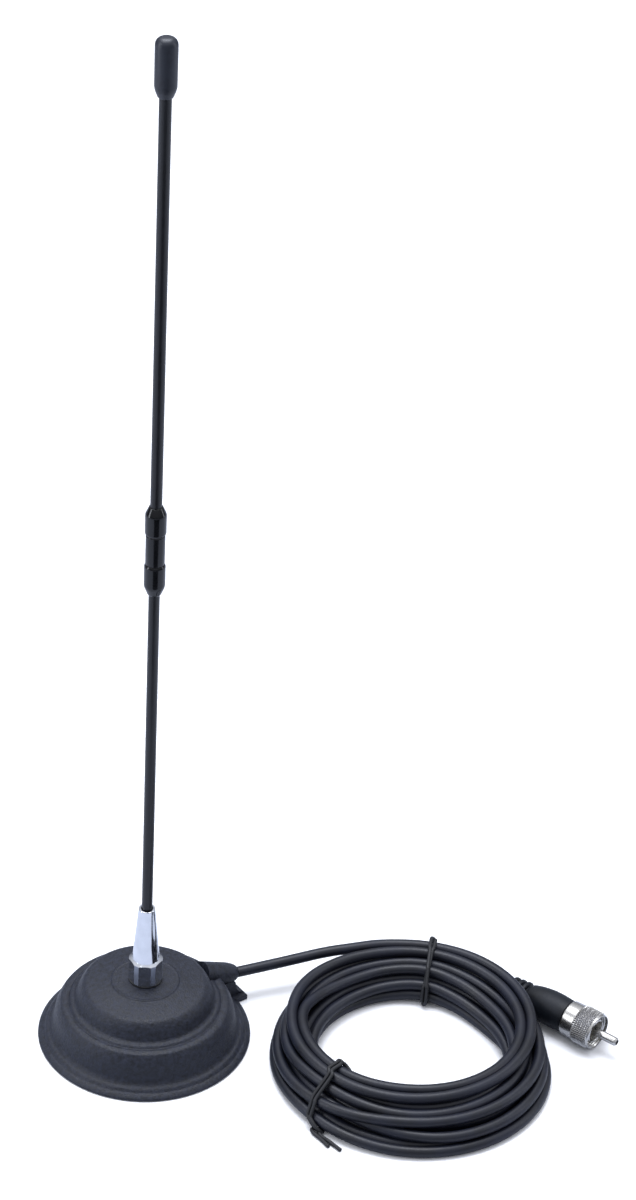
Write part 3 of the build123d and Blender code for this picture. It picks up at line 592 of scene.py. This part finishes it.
# %% The joint's turned pieces
lower_fitting = [(2.42, 235.6, 0), (2.75, 235.6, 0.12), (3.1, 236.2, 0.2), (4.45, 239.6, 0.7), (4.53, 240.6, 0.2),
                 (4.53, 249.5, 0.25), (4.15, 250.4, 0.15), (3.9, 250.5, 0), (0, 250.5, 0), (0, 247.5, 0),
                 (2.42, 247.5, 0)]
show(solid("lower_end_fitting", lathe(lower_fitting)), "lower_whip", "joint_black", "lower_joint_ferrule")
sleeve = [(2.6, 264.5, 0), (2.9, 264.5, 0), (3.9, 264.5, 0.1), (4.12, 264.3, 0.1), (4.12, 250.8, 0.1),
          (3.9, 250.5, 0.1), (0, 250.5, 0), (0, 257.9, 0), (2.6, 257.9, 0)]
show(solid("joint_sleeve", lathe(sleeve)), "lower_whip", "joint_black", "joint_union")
show(solid("thin_seal", lathe([(2.8, 264.5, 0), (4.0, 264.5, 0.12), (4.0, 265.0, 0.12), (2.8, 265.0, 0)])),
     "seal", "seal_rubber", "joint_o_ring")
upper_fitting = [(2.52, 268.0, 0), (2.52, 265.0, 0), (4.0, 265.0, 0.1), (4.4, 265.2, 0.1), (4.53, 265.7, 0.15),
                 (4.53, 274.2, 0.5), (4.3, 274.9, 0.4), (2.95, 277.9, 0.15), (2.52, 278.0, 0)]
show(solid("upper_end_fitting", lathe(upper_fitting)), "upper_whip", "joint_black", "upper_joint_ferrule")
joint_screw = lathe([(0, 258.5, 0), (1.7, 258.5, 0), (2.18, 259.0, 0.1), (2.18, 264.8, 0), (2.5, 265.0, 0),
                     (2.5, 267.4, 0), (0, 267.4, 0)], steps=64)
show(solid("joint_screw", thread(joint_screw, 2.1, 2.5, 0.8, 258.9, 264.6)), "upper_whip", "brass", "joint_stud")

# %% [markdown]
# A vinyl cap is dipped on a round former, so it has no sharp edge: a dome on top, straight sides and a drawn-in
# neck that grips the rod. Its outline goes up inside as well, to make the pocket that the rod fills.

# %% The cap on the tip
cap = [(2.52, 458.8, 0), (3.0, 458.8, 0.2), (3.25, 459.3, 0.3), (4.35, 462.0, 1.1), (4.5, 463.6, 0.4),
       (4.53, 483.2, 3.1), (0, 483.2, 0), (0, 476.8, 0), (2.52, 476.8, 0)]
show(solid("domed_cap", lathe(cap)), "upper_whip", "cap_rubber", "tip_cap", sharp=50)

# %% [markdown]
# The plug lies on the floor, so its pieces are spun upright and then laid along its own axis. The boot is a soft
# moulding with bend-relief ribs. The coupling ring has a plain band and a diamond knurl, which is two sets of rolled
# grooves that cross: every point of the band is pushed in by how near it lies to the closest groove of either set.

# %% The boot and its ribs
laid_down = Vector((0, 0, 1)).rotation_difference(plug_heading).to_matrix().to_4x4()
plug_frame = Matrix.Translation(plug_start) @ laid_down
boot = [(2.54, -36, 0), (3.4, -36, 0.3), (4.3, -34.4, 0.5)]
for rib_index in range(3):
    foot = -22.8 - 3.2 * (3 - rib_index)
    crest = 5.5 + 0.3 * rib_index
    boot += [(4.35, foot + 0.3, 0.25), (crest, foot + 0.6, 0.5), (crest, foot + 2.3, 0.5),
             (4.35, foot + 2.7, 0.25)]
boot += [(4.6, -22.4, 0.3), (6.0, -21.9, 0.7), (7.2, -17.5, 1.6), (8.1, -12.0, 2.2), (8.15, -6.0, 2.0),
         (7.7, -0.4, 0.25), (5.62, -0.3, 0), (5.62, -21, 0), (2.54, -21, 0)]
show(solid("ribbed_boot", lathe(boot, steps=96), plug_frame), "base", "boot_rubber", "plug_boot", sharp=50)

# %% [markdown]
# The ring's outline has many rows along the knurled band, so that a function can press the grooves into it. Both
# ends of the band are drawn in a little, so that it has no sharp rim. A thread is cut inside for the mating socket.

# %% The knurled coupling ring
grooves = 50
knurl_low, knurl_high = 6.7, 14.7
knurl_rows = 60
knurl_radius, knurl_depth, end_drop = 9.0, 0.42, 0.25  # the band, its grooves, and how far its ends draw in
end_width = 0.5  # millimetres of the band over which an end draws in
# Faces deep in the knurl take the darker nickel, which is painted shade in its grooves.
groove_floor, shaded_groove_share = 8.3, 0.3  # faces further out than the first and nearer a groove than the second are dark
rows = [(knurl_radius, knurl_low + (knurl_high - knurl_low) * row / knurl_rows, 0) for row in range(knurl_rows + 1)]
ring_outline = [(6.5, 0, 0.15), (8.1, 0, 0.3), (8.28, 0.6, 0.2), (8.5, 6.0, 0.2), (8.62, 6.5, 0.1)] + rows + [
    (8.62, 14.9, 0.1), (8.45, 15.8, 0.2), (8.2, 16.0, 0.1), (7.95, 15.9, 0), (7.95, 2.6, 0), (6.5, 2.6, 0)]
ring_shape = lathe(ring_outline, steps=grooves * 6)
pitch = 2 * math.pi / grooves


def on_diamond(spot):
    """0 in a groove of the knurl and 1 on the point of a diamond."""
    turn = math.atan2(spot.y, spot.x) / pitch
    climb = spot.z / (knurl_radius * mm * pitch)
    return min(abs((turn + climb) % 1 - 0.5), abs((turn - climb) % 1 - 0.5)) * 2


for vert in ring_shape.verts:
    reach = vert.co.xy.length
    if reach > (knurl_radius - 0.01) * mm:
        edge = min(1.0, (vert.co.z / mm - knurl_low) / end_width, (knurl_high - vert.co.z / mm) / end_width)
        depth = knurl_depth * (1 - on_diamond(vert.co)) + end_drop * (1 - max(0.0, edge))
        vert.co.xy *= 1 - depth * mm / reach
bmesh.ops.recalc_face_normals(ring_shape, faces=ring_shape.faces)
thread(ring_shape, 8.0, 7.5, 1.058, 4.0, 15.6, steps=72)
ring = show(solid("knurled_ring", ring_shape, plug_frame), "ring", "nickel", "coupling_ring", sharp=30)

# %% [markdown]
# The bottoms of the grooves are painted darker than the diamonds, as painted shade in the recesses. The faces that
# lie deepest in the pattern take a second material slot, picked with the same function that pressed the grooves.

# %% Painted shade in the grooves of the knurl
ring.data.materials.append(finishes["groove_shade_nickel"])
along = plug_frame.inverted()
for face in ring.data.polygons:
    seat = along @ face.center
    on_band = knurl_low < seat.z / mm < knurl_high and seat.xy.length > groove_floor * mm
    if on_band and on_diamond(seat) < shaded_groove_share:
        face.material_index = 1

# %% [markdown]
# The body of the plug is a turned tube with four notches in its nose, so that it can be cut from a spun outline
# with two crossed slabs. The insulator carries the centre pin, which is open at its tip.

# %% The plug body, its notched nose, the insulator and the pin
barrel = solid("notched_barrel", lathe([
    (3.92, -18, 0), (5.4, -18, 0.2), (5.6, -17.6, 0.2), (5.6, 3.0, 0), (7.3, 3.0, 0.15), (7.3, 4.6, 0.15),
    (5.9, 4.6, 0.1), (5.9, 14.6, 0), (5.6, 15.0, 0.15), (5.05, 15.0, 0.1), (4.9, 14.7, 0), (4.9, 6.0, 0),
    (3.4, 6.0, 0), (3.4, 1.0, 0), (3.92, 1.0, 0)]))
for turn in (0, 90):
    notch = slab([(-8, 13.8, 0), (8, 13.8, 0), (8, 16, 0), (-8, 16, 0)], 0.8)
    combine(barrel, solid("notch", notch, Matrix.Rotation(math.radians(turn), 4, "Z")), "DIFFERENCE")
barrel.data.transform(plug_frame)
show(barrel, "base", "nickel", "plug_body", sharp=28)
insulator = lathe([(1.62, 1.2, 0), (3.38, 1.2, 0), (3.38, 6.0, 0), (4.88, 6.0, 0), (4.88, 10.5, 0.2),
                   (4.2, 10.5, 0.2), (4.0, 10.1, 0.1), (2.7, 10.1, 0.1), (2.5, 10.5, 0.1), (1.62, 10.5, 0)])
show(solid("moulded_insulator", insulator, plug_frame), "base", "insulator_plastic", "plug_insulator")
pin = lathe([(0, 1.2, 0), (1.6, 1.2, 0), (1.6, 10.52, 0), (2.0, 10.52, 0.1), (2.0, 25.6, 0.3), (1.5, 26.5, 0.2),
             (1.2, 26.5, 0.1), (1.15, 19.5, 0), (0, 19.5, 0)])
show(solid("hollow_pin", pin, plug_frame), "base", "nickel", "centre_pin")

# %% [markdown]
# Two twist ties hold the turns. Each is one plastic-covered wire, folded double, passed round the bundle and twisted
# with its own ends. The wire hugs the turns as they lie, so its path is worked out from them: the outermost turn in
# each direction, plus both radii. The two strands of a tie lie side by side and may cross.

# %% Where the turns pass under a tie
tie_radius = 0.85 * mm
tie_floor = tie_radius + 0.02 * mm  # the lowest that a strand's middle may lie
loop_steps = 40
loop_start = math.radians(-70)  # low on the outer side of the bundle


def bundle_at(angle):
    """The places, as (distance out, height), where the cable crosses the upright plane at a heading."""
    plane_x = Vector((math.cos(math.radians(angle)), math.sin(math.radians(angle)), 0))
    plane_y = Vector((-plane_x.y, plane_x.x, 0))
    crossings = []
    for before, after in zip(centres, centres[1:]):
        first, second = (before - coil_middle).dot(plane_y), (after - coil_middle).dot(plane_y)
        if first * second <= 0 and first != second:
            point = before.lerp(after, first / (first - second)) - coil_middle
            if point.dot(plane_x) > 0.02:
                crossings.append((point.dot(plane_x), point.z))
    return plane_x, plane_y, crossings


def hug(crossings, direction, room):
    """The point that lies a margin outside the turn that reaches furthest in a direction."""
    away = Vector((math.cos(direction), math.sin(direction)))
    reach = max(crossings, key=lambda spot: spot[0] * away.x + spot[1] * away.y)
    return Vector(reach) + away * room


def tie_wire(name, angle, side_at, tail, lift=0.05):
    """One strand of a tie: a loop round the bundle, its side offset a function of direction, then a tail."""
    plane_x, plane_y, crossings = bundle_at(angle)
    path = []
    for step in range(loop_steps + 1):
        direction = loop_start + 2 * math.pi * step / loop_steps
        spot = hug(crossings, direction, cable_radius + tie_radius + lift * mm)
        height = Vector((0, 0, max(spot.y, tie_floor)))
        path.append(coil_middle + plane_x * spot.x + plane_y * side_at(direction) * mm + height)
    knot = path[-1]
    for out, side, rise in tail:
        spot = knot + plane_x * out * mm + plane_y * side * mm
        spot.z = max(spot.z + rise * mm, tie_floor)
        path.append(spot)
    made = cable_curve(name, path, tie_radius)
    made.data.bevel_resolution = 4
    return made, len(crossings)


# %% [markdown]
# The rear tie's strands cross near the top of the bundle. The front tie leans across it and its strands lie side by
# side. The side offset of each strand is a small function of its direction round the bundle, so it can be reshaped.

# %% The two ties
def crossed(direction):
    """Side of a wire that crosses its twin near the top of the bundle and meets it again inside."""
    past = direction - math.radians(125)
    return 1.9 * math.sin(past) * math.cos(0.9 * past)


def slanted(direction):
    """Middle of the front tie, which leans across the bundle."""
    return 3.6 + 6.6 * math.cos(direction + math.radians(60))


rear_loop, turns_held = tie_wire("rear_tie_wire", ties[0], crossed,
                                 [(1.6, -0.6, -0.3), (2.4, -4.0, 0.2), (2.6, -9, 0)])
rear_return, _ = tie_wire("rear_tie_return", ties[0], lambda direction: -crossed(direction),
                          [(1.2, 0.8, 0.4), (2.0, 3.0, 0.8), (2.8, 7, 0.4)], lift=0.8)
front_loop, _ = tie_wire("front_tie_wire", ties[1], lambda direction: slanted(direction) + 1.0,
                         [(1.5, -1.4, 0.2), (2.3, 1.4, 0), (1.6, 7, 0), (1.4, 14, 0)])
front_return, _ = tie_wire("front_tie_return", ties[1], lambda direction: slanted(direction) - 1.0,
                           [(2.6, -2.6, 0.2), (3.9, 0.4, 0.2), (3.5, 6, 0), (4.0, 11, 0)])
show(rear_loop, "base", "tie_plastic", "rear_tie")
show(rear_return, "base", "tie_plastic")
show(front_loop, "base", "tie_plastic", "front_tie")
show(front_return, "base", "tie_plastic")
print("turns under the rear tie", turns_held)

# %% [markdown]
# The cable is soft; here it is drawn as one fixed curve.

# %% [markdown]
# The antenna stands on white paper under cool studio light: a large softbox overhead, and a narrow one at each side
# that draws bright lines down the whip and the cap. The paper is white to the camera and duller in reflections, as
# paper far from the lights is, and a black card in front gives the whip its dark middle line. The card shows in
# reflections only. The sky brightens upwards, so upright faces stay darker than level ones.

# %% The lights and the staged sheets
def softbox(name, place, aim, size, power):
    """A rectangular studio light at a place, turned to a point."""
    lamp = bpy.data.lights.new(name, "AREA")
    lamp.shape = "RECTANGLE"
    lamp.size, lamp.size_y = size
    lamp.energy = power
    lamp.color = colour("#f1f5ff")[:3]
    light = bpy.data.objects.new(name, lamp)
    light.location = place
    light.rotation_euler = (Vector(aim) - Vector(place)).to_track_quat("-Z", "Y").to_euler()
    bpy.context.scene.collection.objects.link(light)


def staged(name, shape):
    """A sheet that belongs to the studio and not to the object, with its node tree and its shader."""
    sheet = solid(name, shape)
    finish, tree, shader = new_finish(name + "_finish")
    sheet.data.materials.append(finish)
    return sheet, tree, shader


# %% [markdown]
# Two sheets belong to the studio only. The paper has two tones, one for the camera and one for every other ray,
# chosen by a Light Path node. The card is hidden from the camera and casts no shadow, so only shiny
# faces show it.

# %% The paper and the card
paper_shape = bmesh.new()
bmesh.ops.create_grid(paper_shape, x_segments=1, y_segments=1, size=6.0)
_, tree, shader = staged("studio_floor", paper_shape)
seen = add(tree, "LightPath").outputs["Is Camera Ray"]
tones = add(tree, "ValToRGB", {"Fac": seen})
tones.color_ramp.elements[0].color = colour("#c3c8d4")
tones.color_ramp.elements[1].color = colour("#fbfbfb")
tree.links.new(tones.outputs["Color"], shader.inputs["Base Color"])
shader.inputs["Roughness"].default_value = 0.9

card_shape = bmesh.new()
card_corners = [(-0.06, -0.26, 0.001), (0.2, -0.26, 0.001), (1.0, -1.1, 0.001), (-0.32, -1.1, 0.001)]
card_shape.faces.new([card_shape.verts.new(corner) for corner in card_corners])
card, tree, shader = staged("black_card", card_shape)
shader.inputs["Base Color"].default_value = colour("#2c2e34")
shader.inputs["Roughness"].default_value = 0.95
card.visible_camera = card.visible_diffuse = card.visible_shadow = False

# %% [markdown]
# A gradient from grey to cool white stands in for the room, mixed so that the camera sees a plain near-white. The
# softboxes give the bright lines. Their powers are in watts and their places in metres from the middle of the base.

# %% The sky and the softboxes
world = bpy.data.worlds.new("studio")
world.use_nodes = True
sky = world.node_tree
height = add(sky, "SeparateXYZ", {"Vector": add(sky, "TexCoord").outputs["Generated"]})
walls = add(sky, "ValToRGB", {"Fac": height.outputs["Z"]})
walls.color_ramp.elements[0].position = 0.0
walls.color_ramp.elements[0].color = colour("#5e6370")
walls.color_ramp.elements[1].position = 0.75
walls.color_ramp.elements[1].color = colour("#f3f6ff")
behind = add(sky, "MixRGB", {"Fac": add(sky, "LightPath").outputs["Is Camera Ray"],
                             "Color1": walls.outputs["Color"], "Color2": colour("#f6f7fa")})
sky.links.new(behind.outputs["Color"], sky.nodes["Background"].inputs["Color"])
sky.nodes["Background"].inputs["Strength"].default_value = 0.95
bpy.context.scene.world = world
softbox("overhead", (-0.1, 0.45, 1.9), (0.05, 0, 0.05), (1.3, 1.0), 38)
softbox("left", (-1.3, -0.45, 0.7), (0.0, 0, 0.25), (0.3, 1.3), 9)
softbox("right", (1.4, 0.1, 0.7), (0.0, 0, 0.25), (0.25, 1.2), 4)
bpy.context.scene.view_settings.view_transform = "Standard"
